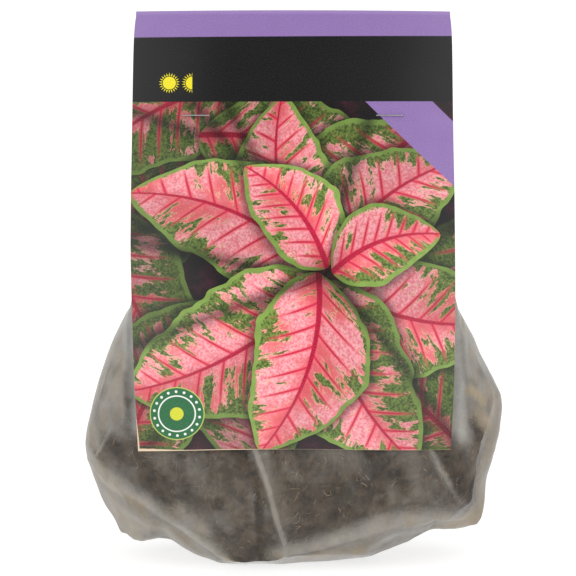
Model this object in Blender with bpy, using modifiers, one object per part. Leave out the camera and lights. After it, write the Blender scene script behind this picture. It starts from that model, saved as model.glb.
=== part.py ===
"""Bag of caladium tubers: a gusseted film bag of peat under a folded header card with two staples.

The bag stands on its filled bottom, on z = 0, and the card's printed front faces -Y.
All sizes are in metres.
"""
import math
import random

import bmesh
import bpy
from mathutils import Matrix, Vector

MM = 0.001

# Sheets, wire and the clearance between neighbours
FILM = 0.6 * MM
CARD = 0.6 * MM
WIRE_RADIUS = 0.35 * MM
GAP = 0.3 * MM
CLEARANCE = 0.35 * MM        # between large curved faces

# The film bag, as level sections from the bottom up, in millimetres. Each is symmetric front to back and
# left to right: height, half width of the front panel, half depth at the panel's fold, crown of the panel,
# half width at the middle of the side gusset, roundness of the gusset (0 straight, 1 round), and how far
# the filling stays out of the empty corner.
SECTIONS = (
    (0.0, 34, 12.5, 8.5, 40, 0.0, 3),
    (2.0, 44, 15.5, 10, 52, 0.0, 7),
    (6.0, 52, 18.5, 12, 65, 0.0, 10),
    (11.0, 59, 20.5, 14, 79, 0.0, 14),
    (15.0, 65, 21.5, 15, 86, 0.0, 16),
    (23.0, 73, 22.5, 17, 90, 0.1, 11),
    (33.0, 79, 23, 18.5, 92.5, 0.4, 6),
    (45.0, 82.5, 23.5, 19.5, 96.3, 0.8, 2),
    (57.0, 83.5, 23.5, 20, 97.7, 1.0, 0),
    (68.0, 82.5, 24, 20, 96.5, 1.0, 0),
    (80.0, 81, 24.5, 19.5, 93, 1.0, 0),
    (91.5, 79.3, 24, 19, 88, 0.9, 0),
    (103.0, 77.5, 23, 17.5, 82.5, 0.8, 0),
    (114.0, 75.5, 21.2, 16, 77.5, 0.5, 0),
    (126.0, 73.5, 18.8, 14, 70, 0.0, 0),
    (142.0, 72, 15.7, 10, 64, 0.0, 0),
    (160.0, 71, 11.4, 5.8, 60, 0.0, 0),
    (180.0, 70.5, 5.8, 2.2, 57, 0.0, 0),
    (196.0, 70, 2.5, 0.4, 56, 0.0, 0),
    (206.0, 70, 1.75, 0, 56, 0.0, 0),
    (240.0, 70, 1.75, 0, 56, 0.0, 0),
)
# The middle plane of the flat mouth leans back: height and depth of its turning points, in millimetres
LEAN = ((0, 0), (103, 0), (114, -1), (126, -2.5), (142, -5), (160, -7.5), (180, -9.5), (196, -9.4),
        (206, -8), (253, 2))
FOLD_NOSE = 3.0 * MM         # largest radius of the fold between panel and gusset
GUSSET_SLIT = 0.15 * MM      # half gap between the two leaves of the folded gusset
EAR_TIP = 0.75 * MM          # half thickness of the empty corner's edge
SIDE_TIP = 4.0 * MM          # half of the flat middle of a filled gusset
EAR_HEIGHT = 30.0 * MM
BASE_RING = 0.5              # size of the inner ring of the flat bottom, as a share
PANEL_STEPS = 5
NOSE_STEPS = 3
GUSSET_STEPS = 3

# Header card
CARD_HALF_WIDTH = 72.75 * MM
CARD_FOLD_HEIGHT = 250.0 * MM
CARD_LOWER_EDGE = 57.0 * MM
CARD_COLUMNS = 6
CARD_FOLD_STEPS = 8
# How far the side edges of the card curve back, by height, in millimetres
CARD_BOW = ((57, 12), (80, 10), (103, 8), (126, 5.5), (160, 3), (180, 1), (196, 0.2), (206, 0), (260, 0))

# Peat
PEAT_TOP = 114.0 * MM
PEAT_RELIEF = 1.3 * MM
PEAT_EDGE = 1.2 * MM         # how far the filling's bottom edge stays inside the film's
PEAT_DOME = ((0.72, 2.5 * MM), (0.36, 3.5 * MM))
PEAT_SEED = 7

# Tubers: place and half sizes
TUBERS = (
    ("tuber_1", Vector((-34 * MM, -3 * MM, 116 * MM)), Vector((24 * MM, 20 * MM, 15 * MM)), 20, 11),
    ("tuber_2", Vector((33 * MM, 1 * MM, 115 * MM)), Vector((22 * MM, 21 * MM, 14 * MM)), -35, 23),
)
TUBER_EYES = 9
TUBER_EYE_WIDTH = 0.30       # angle from an eye's middle to its foot, in radians
TUBER_EYE_HEIGHT = 0.11      # share of the tuber's half size
TUBER_SCAR_HEIGHT = 0.018
TUBER_SCARS = 16             # turns of the leaf scar wave from pole to pole
GOLDEN_ANGLE = math.radians(137.5)

# Staples
STAPLE_HEIGHT = 206.0 * MM
STAPLES = (("staple_left", -45.0 * MM), ("staple_right", 43.5 * MM))
CROWN_HALF = 6.1 * MM
STAPLE_CORNER = 0.7 * MM
CLINCH = 4.2 * MM
LEG_HOLE = 1.4 * MM
LEG_HOLE_LENGTH = 16.0 * MM

COLOURS = {
    "header_card": ((0.42, 0.25, 0.30), 0.35, 0.0),
    "poly_bag": ((0.60, 0.58, 0.55), 0.30, 0.0),
    "peat_fill": ((0.09, 0.06, 0.045), 0.95, 0.0),
    "tuber": ((0.28, 0.19, 0.11), 0.85, 0.0),
    "staple": ((0.70, 0.70, 0.70), 0.30, 1.0),
}


def clear_scene():
    for item in list(bpy.data.objects):
        bpy.data.objects.remove(item, do_unlink=True)


def new_collection(name):
    collection = bpy.data.collections.new(name)
    bpy.context.scene.collection.children.link(collection)
    return collection


def material(name):
    colour, roughness, metallic = COLOURS[name]
    made = bpy.data.materials.new(name)
    made.use_nodes = True
    shader = made.node_tree.nodes["Principled BSDF"]
    shader.inputs["Base Color"].default_value = (*colour, 1.0)
    shader.inputs["Roughness"].default_value = roughness
    shader.inputs["Metallic"].default_value = metallic
    return made


def add_object(name, mesh, collection, made):
    item = bpy.data.objects.new(name, mesh)
    collection.objects.link(item)
    mesh.materials.append(made)
    return item


def mesh_from(bm, name):
    mesh = bpy.data.meshes.new(name)
    bm.normal_update()
    bm.to_mesh(mesh)
    bm.free()
    return mesh


def between(pairs, at):
    """Value at a place in a list of (place, value) pairs in millimetres, as metres."""
    at = at / MM
    for (low, start), (high, end) in zip(pairs, pairs[1:]):
        if at <= high:
            return (start + (end - start) * (at - low) / (high - low)) * MM
    return pairs[-1][1] * MM


def middle(height):
    return between(LEAN, height)


def stack_direction():
    """Unit vectors up the flat mouth and out of its front."""
    (low, start), (high, end) = LEAN[-2:]
    up = Vector((0, end - start, high - low)).normalized()
    return up, Vector((0, -up.z, up.y))


def quarter(section, keep_out=False):
    """The front right quarter of one section, from the front middle to the gusset's middle."""
    height, half_width, fold, crown, gusset, roundness, ear = section
    half_width, fold, crown, gusset = (value * MM for value in (half_width, fold, crown, gusset))
    folded_in = gusset < half_width
    if folded_in:
        tip = GUSSET_SLIT
    elif keep_out or height * MM > EAR_HEIGHT:
        tip = SIDE_TIP
    else:
        tip = EAR_TIP
    if keep_out:
        gusset -= ear * MM
    corner = Vector((half_width, -fold))
    end = Vector((gusset, -tip))
    round_guide = Vector((gusset, -fold / 2))
    guide = (corner + end) / 2 * (1 - roundness) + round_guide * roundness

    # The fold between the panel and the gusset is a nose tangent to both
    along = Vector((1, 2 * crown / half_width)).normalized()
    leaving = (guide - corner).normalized()
    turn = -along.angle_signed(leaving)
    nose = min(FOLD_NOSE, (fold - tip) / 2)
    outward = Vector((along.y, -along.x))
    centre = corner - outward * nose - along * nose * min(math.tan(turn / 2), 1.0)
    start_angle = math.atan2(outward.y, outward.x)
    nose_points = []
    for step in range(NOSE_STEPS + 1):
        angle = start_angle + turn * step / NOSE_STEPS
        nose_points.append(centre + Vector((math.cos(angle), math.sin(angle))) * nose)

    points = []
    for step in range(PANEL_STEPS):
        x = nose_points[0].x * step / PANEL_STEPS
        points.append(Vector((x, -fold - crown * (1 - (x / half_width) ** 2))))
    points += nose_points
    start = nose_points[-1]
    guide = (start + end) / 2 * (1 - roundness) + round_guide * roundness
    for step in range(1, GUSSET_STEPS + 1):
        share = step / GUSSET_STEPS
        points.append(start * (1 - share) ** 2 + guide * 2 * share * (1 - share) + end * share ** 2)
    return points


def ring(section, keep_out=False):
    """One whole section, counter-clockwise seen from above, starting at the front middle."""
    front_right = quarter(section, keep_out)
    back_right = [Vector((p.x, -p.y)) for p in reversed(front_right)]
    right = front_right + back_right
    left = [Vector((-p.x, p.y)) for p in reversed(right[1:-1])]
    height = section[0] * MM
    shift = middle(height)
    return [Vector((p.x, p.y + shift, height)) for p in right + left]


def bridge(bm, lower, upper):
    count = len(lower)
    for k in range(count):
        after = (k + 1) % count
        bm.faces.new((lower[k], lower[after], upper[after]))
        bm.faces.new((lower[k], upper[after], upper[k]))


def close_with(bm, outline, point, upward):
    tip = bm.verts.new(point)
    count = len(outline)
    for k in range(count):
        pair = (outline[k], outline[(k + 1) % count])
        bm.faces.new((*pair, tip) if upward else (*reversed(pair), tip))


def bag_surface(sections, keep_out=False):
    """The lofted outside of the bag, closed below by a flat bottom and open at its top."""
    bm = bmesh.new()
    rings = [[bm.verts.new(point) for point in ring(section, keep_out)] for section in sections]
    for lower, upper in zip(rings, rings[1:]):
        bridge(bm, lower, upper)
    inner = [bm.verts.new((v.co.x * BASE_RING, v.co.y * BASE_RING, v.co.z)) for v in rings[0]]
    bridge(bm, inner, rings[0])
    close_with(bm, inner, (0, 0, 0), upward=False)
    return bm, rings


def staple_frame(offset):
    """Matrix of a staple's own frame: x along the crown, y out of the back, z up the mouth."""
    up, front = stack_direction()
    place = Vector((offset, middle(STAPLE_HEIGHT), STAPLE_HEIGHT))
    turn = Matrix((Vector((1, 0, 0)), -front, up)).transposed()
    return Matrix.Translation(place) @ turn.to_4x4()


def make_leg_cutters(collection):
    for name, offset in STAPLES:
        for side in (-1, 1):
            bm = bmesh.new()
            bmesh.ops.create_cube(bm, size=1)
            bmesh.ops.scale(bm, vec=(LEG_HOLE, LEG_HOLE_LENGTH, LEG_HOLE), verts=bm.verts)
            cutter = bpy.data.objects.new(name + "_leg_hole", mesh_from(bm, name + "_leg_hole"))
            cutter.matrix_world = staple_frame(offset) @ Matrix.Translation((side * CROWN_HALF, 0, 0))
            cutter.hide_render = True
            cutter.display_type = "WIRE"
            collection.objects.link(cutter)


def thicken(item, thickness, outward):
    solid = item.modifiers.new("thickness", "SOLIDIFY")
    solid.thickness = thickness
    solid.offset = 1 if outward else -1
    solid.use_rim = True


def cut_with(item, collection):
    cut = item.modifiers.new("holes", "BOOLEAN")
    cut.operation = "DIFFERENCE"
    cut.operand_type = "COLLECTION"
    cut.collection = collection


def make_poly_bag(collection, holes):
    bm, _ = bag_surface(SECTIONS)
    bag = add_object("poly_bag", mesh_from(bm, "poly_bag"), collection, material("poly_bag"))
    thicken(bag, FILM, outward=False)
    cut_with(bag, holes)


def card_rows():
    """Rows of the card's inner face from the front lower edge over the fold to the back lower edge.

    Each is depth from the middle plane, height and bow.
    """
    front = []
    for section in SECTIONS:
        height = section[0] * MM
        if CARD_LOWER_EDGE <= height:
            depth = (section[2] + section[3]) * MM + CLEARANCE
            front.append((-depth, height, between(CARD_BOW, height)))
    radius = -front[-1][0]
    fold = []
    for step in range(CARD_FOLD_STEPS + 1):
        angle = math.pi * step / CARD_FOLD_STEPS
        fold.append((-radius * math.cos(angle), CARD_FOLD_HEIGHT + radius * math.sin(angle), 0))
    back = [(-depth, height, -bow) for depth, height, bow in reversed(front)]
    return front + fold + back


def make_header_card(collection, holes):
    bm = bmesh.new()
    rows = []
    for depth, height, bow in card_rows():
        row = []
        for column in range(CARD_COLUMNS + 1):
            across = 2 * column / CARD_COLUMNS - 1
            y = middle(height) + depth + bow * across ** 2
            row.append(bm.verts.new((across * CARD_HALF_WIDTH, y, height)))
        rows.append(row)
    for lower, upper in zip(rows, rows[1:]):
        for k in range(CARD_COLUMNS):
            bm.faces.new((lower[k], lower[k + 1], upper[k + 1]))
            bm.faces.new((lower[k], upper[k + 1], upper[k]))
    mesh = mesh_from(bm, "header_card")
    card = add_object("header_card", mesh, collection, material("header_card"))
    thicken(card, CARD, outward=True)
    cut_with(card, holes)


def eye_directions(draw):
    """Directions of a tuber's eyes: most on its upper side, spread by a spiral."""
    eyes = []
    for k in range(TUBER_EYES):
        turn = k * GOLDEN_ANGLE + draw.uniform(-0.3, 0.3)
        rise = 1 - 1.5 * k / TUBER_EYES
        flat = math.sqrt(max(0.0, 1 - rise * rise))
        eyes.append(Vector((flat * math.cos(turn), flat * math.sin(turn), rise)))
    return eyes


def tuber_mesh(name, half_size, turn, seed, grow=0.0):
    """A flattened round tuber with leaf scar rings and raised eyes; grow offsets its whole skin."""
    draw = random.Random(seed)
    eyes = eye_directions(draw)
    bm = bmesh.new()
    bmesh.ops.create_icosphere(bm, subdivisions=4, radius=1)
    for vert in bm.verts:
        direction = vert.co.normalized()
        reach = 1 + TUBER_SCAR_HEIGHT * math.sin(direction.z * TUBER_SCARS)
        for eye in eyes:
            apart = direction.angle(eye)
            reach += TUBER_EYE_HEIGHT * math.exp(-(apart / TUBER_EYE_WIDTH) ** 2)
        vert.co = direction * reach
    bmesh.ops.scale(bm, vec=half_size, verts=bm.verts)
    bmesh.ops.rotate(bm, matrix=Matrix.Rotation(math.radians(turn), 3, "Z"), verts=bm.verts)
    bm.normal_update()
    shifts = [vert.normal * grow for vert in bm.verts]
    for vert, shift in zip(bm.verts, shifts):
        vert.co += shift
    return mesh_from(bm, name)


def make_tubers(collection, sockets):
    skin = material("tuber")
    for name, place, half_size, turn, seed in TUBERS:
        tuber = add_object(name, tuber_mesh(name, half_size, turn, seed), collection, skin)
        tuber.location = place
        hollow = tuber_mesh(name + "_socket", half_size, turn, seed, CLEARANCE)
        socket = bpy.data.objects.new(name + "_socket", hollow)
        socket.location = place
        socket.hide_render = True
        socket.display_type = "WIRE"
        sockets.objects.link(socket)


def make_peat_fill(collection, sockets):
    draw = random.Random(PEAT_SEED)
    sections = [section for section in SECTIONS if section[0] * MM <= PEAT_TOP]
    bm, rings = bag_surface(sections, keep_out=True)
    rim = rings[-1]
    shift = middle(PEAT_TOP)
    top = rim
    for share, rise in PEAT_DOME:
        inner = []
        for vert in rim:
            x, y, _ = vert.co
            inner.append(bm.verts.new((x * share, shift + (y - shift) * share, PEAT_TOP + rise)))
        bridge(bm, top, inner)
        top = inner
    close_with(bm, top, (0, shift, PEAT_TOP + rise), upward=True)

    # The filling's skin lies inside the film's, parallel at the bottom and uneven above it
    bm.normal_update()
    inset = FILM + CLEARANCE
    shifts = []
    for vert in bm.verts:
        if vert.co.z == 0:
            shifts.append(Vector((0, 0, inset)) - vert.normal.xy.to_3d() * PEAT_EDGE)
        else:
            shifts.append(-vert.normal * (inset + draw.uniform(0, PEAT_RELIEF)))
    for vert, shift in zip(bm.verts, shifts):
        vert.co += shift
    mesh = mesh_from(bm, "peat_fill")
    peat = add_object("peat_fill", mesh, collection, material("peat_fill"))
    cut_with(peat, sockets)


def staple_path():
    """Half turns of the wire in the staple's own frame, from one clinched tip to the other."""
    across_stack = (SECTIONS[-1][2] * MM + CLEARANCE) * stack_direction()[0].z
    out = across_stack + CARD + GAP + WIRE_RADIUS
    left = [
        (CLINCH - CROWN_HALF, out),
        (STAPLE_CORNER - CROWN_HALF, out),
        (-CROWN_HALF, out - STAPLE_CORNER),
        (-CROWN_HALF, STAPLE_CORNER - out),
        (STAPLE_CORNER - CROWN_HALF, -out),
    ]
    right = [(-x, y) for x, y in reversed(left)]
    return left + right


def make_staples(collection):
    wire = material("staple")
    for name, offset in STAPLES:
        curve = bpy.data.curves.new(name, "CURVE")
        curve.dimensions = "3D"
        curve.bevel_depth = WIRE_RADIUS
        curve.bevel_resolution = 2
        curve.use_fill_caps = True
        path = staple_path()
        spline = curve.splines.new("POLY")
        spline.points.add(len(path) - 1)
        for point, (x, y) in zip(spline.points, path):
            point.co = (x, y, 0, 1)
        staple = add_object(name, curve, collection, wire)
        staple.matrix_world = staple_frame(offset)


def build():
    clear_scene()
    parts = new_collection("bag_of_caladium_tubers")
    holes = new_collection("staple_leg_cutters")
    sockets = new_collection("tuber_socket_cutters")
    make_leg_cutters(holes)
    make_poly_bag(parts, holes)
    make_header_card(parts, holes)
    make_tubers(parts, sockets)
    make_peat_fill(parts, sockets)
    make_staples(parts)


build()
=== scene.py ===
"""Looks of a bag of caladium tubers: milky film over peat, a folded printed card, staples and a plain studio.

Sizes are in millimetres unless a name says otherwise, and meshes are scaled to metres when they are made.
"""
import math

import bpy
import numpy as np
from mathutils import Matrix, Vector


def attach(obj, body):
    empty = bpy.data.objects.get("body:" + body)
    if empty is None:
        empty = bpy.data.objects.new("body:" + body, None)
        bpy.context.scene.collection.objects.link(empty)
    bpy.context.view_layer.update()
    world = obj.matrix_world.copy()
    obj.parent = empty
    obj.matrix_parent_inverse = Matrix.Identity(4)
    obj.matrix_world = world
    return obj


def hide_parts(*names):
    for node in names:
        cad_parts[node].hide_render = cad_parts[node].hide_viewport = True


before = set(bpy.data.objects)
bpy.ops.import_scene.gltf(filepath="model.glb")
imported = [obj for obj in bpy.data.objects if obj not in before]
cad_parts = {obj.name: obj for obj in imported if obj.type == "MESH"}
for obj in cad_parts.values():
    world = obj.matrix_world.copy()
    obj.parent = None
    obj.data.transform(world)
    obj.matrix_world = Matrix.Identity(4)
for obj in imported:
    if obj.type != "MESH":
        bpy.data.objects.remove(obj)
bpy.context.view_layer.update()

MM = 0.001

# The bag's level sections, as the solid parts have them: height, half width of the front panel, half depth
# at the panel's fold, crown of the panel, roundness of the side gusset
SECTIONS = np.array((
    (0.0, 34, 12.5, 8.5, -0.2),
    (2.0, 44, 15.5, 10, -0.2),
    (6.0, 52, 18.5, 12, -0.2),
    (11.0, 59, 20.5, 14, -0.2),
    (15.0, 65, 21.5, 15, -0.1),
    (23.0, 73, 22.5, 17, 0.1),
    (33.0, 79, 23, 18.5, 0.4),
    (45.0, 82.5, 23.5, 19.5, 0.8),
    (57.0, 83.5, 23.5, 20, 1.0),
    (68.0, 82.5, 24, 20, 1.0),
    (80.0, 81, 24.5, 19.5, 1.0),
    (91.5, 79.3, 24, 19, 0.9),
    (103.0, 77.5, 23, 17.5, 0.8),
    (114.0, 75.5, 21.2, 16, 0.5),
    (126.0, 73.5, 18.8, 14, 0.0),
    (142.0, 72, 15.7, 10, 0.0),
    (160.0, 71, 11.4, 5.8, 0.0),
    (180.0, 70.5, 5.8, 2.2, 0.0),
    (196.0, 70, 2.5, 0.4, 0.0),
    (206.0, 70, 1.75, 0, 0.0),
    (240.0, 70, 1.75, 0, 0.0),
))
# Half width at the middle of each side gusset, by height
GUSSET_LEFT = ((0, 40), (2, 56), (4, 71), (6, 78), (9, 81.5), (14, 84), (23, 89.5), (35, 94), (40, 95.5),
               (46, 97.6), (52, 97.7), (57, 97.2), (69, 94.3), (80, 91.3), (91, 87.5), (103, 82.7),
               (114, 77.2), (126, 70), (142, 64), (160, 60), (180, 57), (196, 56), (240, 56))
GUSSET_RIGHT = ((0, 40), (2, 49), (4, 54), (8, 63), (10, 76), (12, 85), (14, 87.4), (17, 89.1), (23, 90),
                (35, 90.8), (46, 94), (52, 95.8), (60, 97.2), (69, 97.5), (74.5, 96.6), (80, 94.2),
                (91, 88), (103, 82.7), (114, 77.6), (126, 70), (142, 64), (160, 60), (180, 57), (196, 56),
                (240, 56))
# Where the bag's middle lies along y, by height
LEAN = ((0, 0), (103, 0), (114, -1), (126, -2.5), (142, -5), (160, -7.5), (180, -9.5), (196, -9.4),
        (206, -8), (253, 2))

# How far the filling stays out of the empty lower corners, by height
KEEP_OUT_LEFT = ((0, 3), (2, 7), (6, 10), (11, 14), (15, 16), (23, 11), (33, 6), (45, 2), (57, 0), (240, 0))
KEEP_OUT_RIGHT = ((0, 3), (2, 7), (6, 10), (11, 13), (15, 11.5), (20, 8), (26, 5), (35, 5), (45, 5.8),
                  (52, 5.5), (57, 4.5), (66, 3), (76, 1), (90, 0), (240, 0))

# How far the header's side margins curve back, by height
HEADER_CURL = ((0, 0), (120, 0), (160, 0.8), (190, 2.0), (215, 2.6), (253, 2.2))
# How far the lower hem rises, and the height up to which it does so in full, by x
HEM = ((-98, 1.2), (-90, 1.1), (-86.6, 1.3), (-83, 0.7), (-79, 3), (-75.5, 1.5), (-71.7, 1.6), (-68, 3.3),
       (-64, 4.5), (-59, 5.6), (-55, 4), (-50, 2.1), (-46, 1.2), (-42, 0.4), (-38, -0.2), (-34, -1.4),
       (-28, -1.8), (-22, -1.4), (-16, -0.5), (-6, 0), (6, 1), (17, 1.1), (25, 1.3), (32, 1.3), (36, 1.7),
       (40, 3), (43, 3.9), (47, 4.4), (50, 4.1), (54, 3.2), (58, 2.9), (61.5, 3.5), (65, 5.1), (69, 3.5),
       (72.6, 2.7), (76, 1.8), (80, 1.5), (84, 1.8), (87, 0.8), (91, 1.5), (98, 2))
HEM_LEVEL = ((-98, 40), (-94, 32), (-90, 26), (-86, 20), (-82, 16), (-76, 12), (-70, 10), (-60, 9), (-52, 8),
             (-45, 5), (-38, 2), (-30, 0), (30, 0), (40, 4.5), (47, 7), (55, 9), (62, 11), (70, 12), (80, 14),
             (86, 20), (92, 35), (98, 50))
# How far the bag's sides are drawn in, by height
TUCK_LEFT = ((0, 2), (31, 2), (40, 1.6), (46, 1.6), (50, 1.3), (62, 1.3), (76, 1.3), (84, 0.8), (95, 0.5),
             (110, 0.4), (119, 1.6), (126, 0))
TUCK_RIGHT = ((0, 1.2), (16, 1), (21, 0.7), (35, 0.7), (44, 1), (52, 1.2), (60, 0.9), (72, 0.3), (80, -0.5),
              (88, -0.7), (97, 0.2), (110, 0.2), (121, 0.2), (126, 0))

# Film folds seen on the front, as (x, height) points
LOWER_FOLD_LEFT = ((-95, 43), (-88, 37.5), (-73, 32), (-57, 22), (-39.5, 10.5), (-26, 2.3))
LOWER_FOLD_RIGHT = ((-4, 6), (3, 8.5), (13, 11), (26, 15), (40, 18), (57, 20), (69, 20.5), (78, 19.5),
                    (84, 18))
PLEAT = ((-22.5, 72), (-19.2, 63), (-17, 57), (-10.7, 38), (-7.2, 23.7), (-4, 14), (-3.2, 2))
SIDE_FOLD_LOW = ((59, 61), (62, 55), (66.7, 45.3), (74, 34.3), (82, 23.5))
SIDE_FOLD_RIGHT = ((77, 116), (77.5, 100), (78.5, 88), (80, 77), (81, 66), (83.5, 58))
SIDE_FOLD_LEFT = ((-75, 113), (-76, 98), (-77, 86), (-77, 74), (-75, 62))
LEFT_TICK = ((-83.2, 64), (-86.9, 56.8), (-91.4, 49.4))
SHORT_TICK = ((-4.6, 35), (-3.6, 29))
PATCH_TICK = ((36.5, 52), (39, 46))

# Where the film stands off the filling on the front: points, reach and greatest gap
LOOSE = (
    (((-95, 46), (-87, 40.5), (-76, 35), (-67, 30)), 4.6, 4.2),
    (((-67, 30), (-57, 24), (-46, 16), (-40, 11), (-31, 3.5)), 4.2, 4.2),
    (((-62, 28), (-52, 27)), 4.4, 3.8),
    (((-52, 23), (-43, 19)), 5.6, 3.8),
    (((-5, 7), (3, 10), (13, 13), (26, 17), (39, 20.5), (53, 22), (65, 21.5), (76, 19)), 5.0, 4.6),
    (LEFT_TICK, 1.1, 2.6),
    (((-93, 68), (-92, 57)), 5.5, 3.4),
    (PLEAT, 1.6, 2.6),
    (((-15.5, 57), (-9, 38), (-5.5, 24), (-2, 12)), 3.6, 0.7),
    (SIDE_FOLD_LOW, 2.0, 1.8),
    (((-86, 32), (-74, 21), (-62, 12), (-48, 5), (-38, 0)), 11.0, 7.0),
    (((4, 0), (22, 5), (38, 9), (49, 12), (61, 16), (73, 17)), 8.8, 6.0),
    (((54, 56), (55, 46), (53, 38)), 7.0, 0.8),
    (((14, 56), (28, 54)), 6.0, 0.8),
    (((28, 57), (36, 48), (43, 42), (45, 32)), 1.8, 0.9),
    (((-74, 122), (-73.8, 96), (-73.2, 76)), 4.6, 7.0),
    (((-73.2, 76), (-71, 64)), 3.6, 6.0),
    (((75, 122), (75, 96), (75.5, 76)), 5.0, 7.0),
    (((75.5, 76), (76, 63)), 6.0, 7.0),
    (((-98, 96), (-98, 70), (-97, 62)), 9.5, 6.5),
    (((-98, 62), (-97, 46)), 5.0, 5.5),
    (((98, 84), (97, 64), (95, 52)), 9.5, 7.5),
    (((95, 52), (94, 38), (92, 24)), 5.5, 6.5),
    (((73, 16), (88, 17)), 6.0, 5.0),
)
# Chips and fibre that show warm behind the milky film on the front, of strength above 0, and cool, lighter
# strips, of strength below 0, of which those beside the card's edges are painted light where the card shades
# the film and the one on the left tick is a painted highlight: points, reach, strength
WARM_AND_PAINTED_LIGHT = (
    (((83, 70), (86.2, 66.6), (90, 62.4)), 3.6, 0.9),
    (((88.4, 60), (90.6, 56)), 3.0, 0.6),
    (((95, 70), (93, 45), (88, 20)), 7.0, 0.7),
    (((-77.7, 97), (-77, 92.8)), 2.6, 0.8),
    (((-79, 89), (-82, 80.5)), 3.0, 0.4),
    (((-94, 60), (-92, 50)), 3.5, 0.4),
    (((-76, 31), (-70, 27)), 2.8, 1.0),
    (((-89, 44), (-84, 28), (-78, 18)), 6.0, 0.6),
    (((-73, 16), (-63, 11)), 3.5, 0.8),
    (((-54, 13.5), (-48, 10)), 2.6, 1.0),
    (((-43, 10), (-36, 6)), 2.6, -0.7),
    (((-31, 5), (-24, 3)), 2.8, 0.9),
    (((8, 4), (30, 8)), 3.5, 0.7),
    (((72, 15), (88, 15)), 5.0, 0.7),
    (LEFT_TICK, 0.9, -0.4),
    (((86, 60), (86, 45), (85, 30), (82, 20)), 6.0, 0.7),
    (((-73.5, 122), (-73.4, 88), (-72, 66)), 3.4, -1.3),
    (((74, 122), (75, 88), (76, 62)), 4.4, -0.8),
    (((44, 10), (56, 14)), 4.0, -0.8),
    (((-66, 27), (-57, 22), (-48, 17)), 2.2, -0.5),
)
# Pale chips that lie against the film on the front: points, reach, strength
CHIPS = (
    (((79.6, 80.8), (82.6, 79.2), (86.6, 74.8)), 2.5, 1.0),
    (((84, 69), (87.2, 66.2), (90, 63.2)), 3.8, 0.28),
    (((88, 67), (91.4, 63)), 1.6, 0.5),
)
# Where the film lies in shade on the front, and its lit folds, of strength below 0: points, reach, strength
SHADE = (
    (((97, 70), (93, 58), (89, 40), (86, 22)), 7.0, 0.3),
    (((-92, 42), (-82, 26), (-66, 10)), 7.0, 0.1),
    (((-90, 33), (-74, 25.5), (-59, 15.5), (-44, 6)), 3.4, 0.16),
    (LOWER_FOLD_LEFT, 1.7, -0.14),
    (LOWER_FOLD_RIGHT, 2.2, -0.08),
    (((22, 8), (40, 12.5), (56, 15), (70, 16.5)), 2.4, 0.12),
)
# Where the film clings to what lies behind it on the front, which clears the veil and darkens the filling:
# points, reach, strength. The strip under the card's lower edge and the dark crease lines among them are
# painted shade.
CLING_AND_PAINTED_SHADE = (
    (((72, 58), (75, 52), (79, 40), (82, 28)), 4.0, 0.6),
    (((64, 60), (67.5, 53), (72, 44.5), (78, 33)), 3.2, 1.0),
    (((75, 38), (80.5, 28)), 2.6, 0.6),
    (((-70, 50), (-64.5, 41), (-58, 31)), 7.0, 0.8),
    (((-47, 34), (-41, 32), (-34, 31)), 4.0, 0.6),
    (((-26, 57), (-23, 50)), 3.0, 0.9),
    (((-22.5, 57), (-20, 50), (-17.2, 43.7), (-15.2, 34), (-13.8, 22)), 1.6, 0.9),
    (((4, 54), (9, 48), (14, 40)), 4.0, 0.5),
    (((36, 57), (38, 50), (44, 43)), 4.5, 0.6),
    (((-84, 57), (-80, 54)), 4.5, 0.7),
    (((-16.5, 32), (-14.5, 3)), 1.3, 0.9),
    (((-22, 4), (-15, 10)), 5.0, 0.7),
    (((2, 36), (14, 34), (25, 38), (36, 40)), 7.0, 0.6),
    (((28, 26), (17, 24), (3, 17)), 6.0, 0.6),
    (((-38, 57.5), (-25, 57)), 3.0, 0.9),
    (((33, 55), (39, 46)), 3.5, 0.7),
    (((48, 45), (50.5, 37)), 3.2, 0.8),
    (((-76, 88), (-75.6, 80.5), (-75.4, 77)), 2.2, 0.55),
    (((-75, 75.5), (-75.2, 70), (-76, 63.5)), 2.4, 0.6),
    (((-82, 88), (-79.6, 91.6)), 2.5, 0.4),
    (((78.8, 85.5), (82.3, 83)), 2.0, 0.45),
    (((79.6, 76), (80.8, 72), (82, 68)), 2.8, 0.35),
    (((83, 64), (86.6, 60)), 2.2, 0.4),
    (((88.6, 74), (90.2, 69.6)), 2.5, 0.4),
    (((81.5, 66), (83.5, 61.4), (84.6, 58)), 2.4, 0.7),
)

# Camera: its distance, its slant, the point that it aims at and what one pixel spans there
VIEW_DISTANCE = 900.0
VIEW_PITCH = math.radians(5.0)
AIM = Vector((-2.33, 0.0, 125.03))
PIXEL = 0.4628
IMAGE_WIDTH_PIXELS = 576
SENSOR_MM = 36.0


def curve_through(table, at):
    """Smooth values through a table of (place, value) pairs, with no overshoot."""
    xs, ys = np.array(table, float).T
    steps = np.diff(xs)
    slopes = np.diff(ys) / steps
    before, after = slopes[:-1], slopes[1:]
    same = before * after > 0
    inner = np.where(same, 2 * before * after / np.where(same, before + after, 1), 0)
    tangents = np.concatenate(([slopes[0]], inner, [slopes[-1]]))
    at = np.clip(np.asarray(at, float), xs[0], xs[-1])
    k = np.clip(np.searchsorted(xs, at, side="right") - 1, 0, len(steps) - 1)
    t = (at - xs[k]) / steps[k]
    h = steps[k]
    return (ys[k] * (1 + 2 * t) * (1 - t) ** 2 + tangents[k] * h * t * (1 - t) ** 2
            + ys[k + 1] * t * t * (3 - 2 * t) + tangents[k + 1] * h * t * t * (t - 1))


def section_value(number, at):
    return curve_through(SECTIONS[:, (0, number)], at)


def middle(at):
    return curve_through(LEAN, at)


def ease(value, low, high):
    """0 at low, 1 at high, smooth between and flat beyond. Low may be the larger."""
    t = np.clip((np.asarray(value, float) - low) / (high - low), 0, 1)
    return t * t * (3 - 2 * t)


def hill(distance, reach, power=2):
    """1 at no distance, falling off over the reach."""
    return np.exp(-(distance / reach) ** power)


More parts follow.
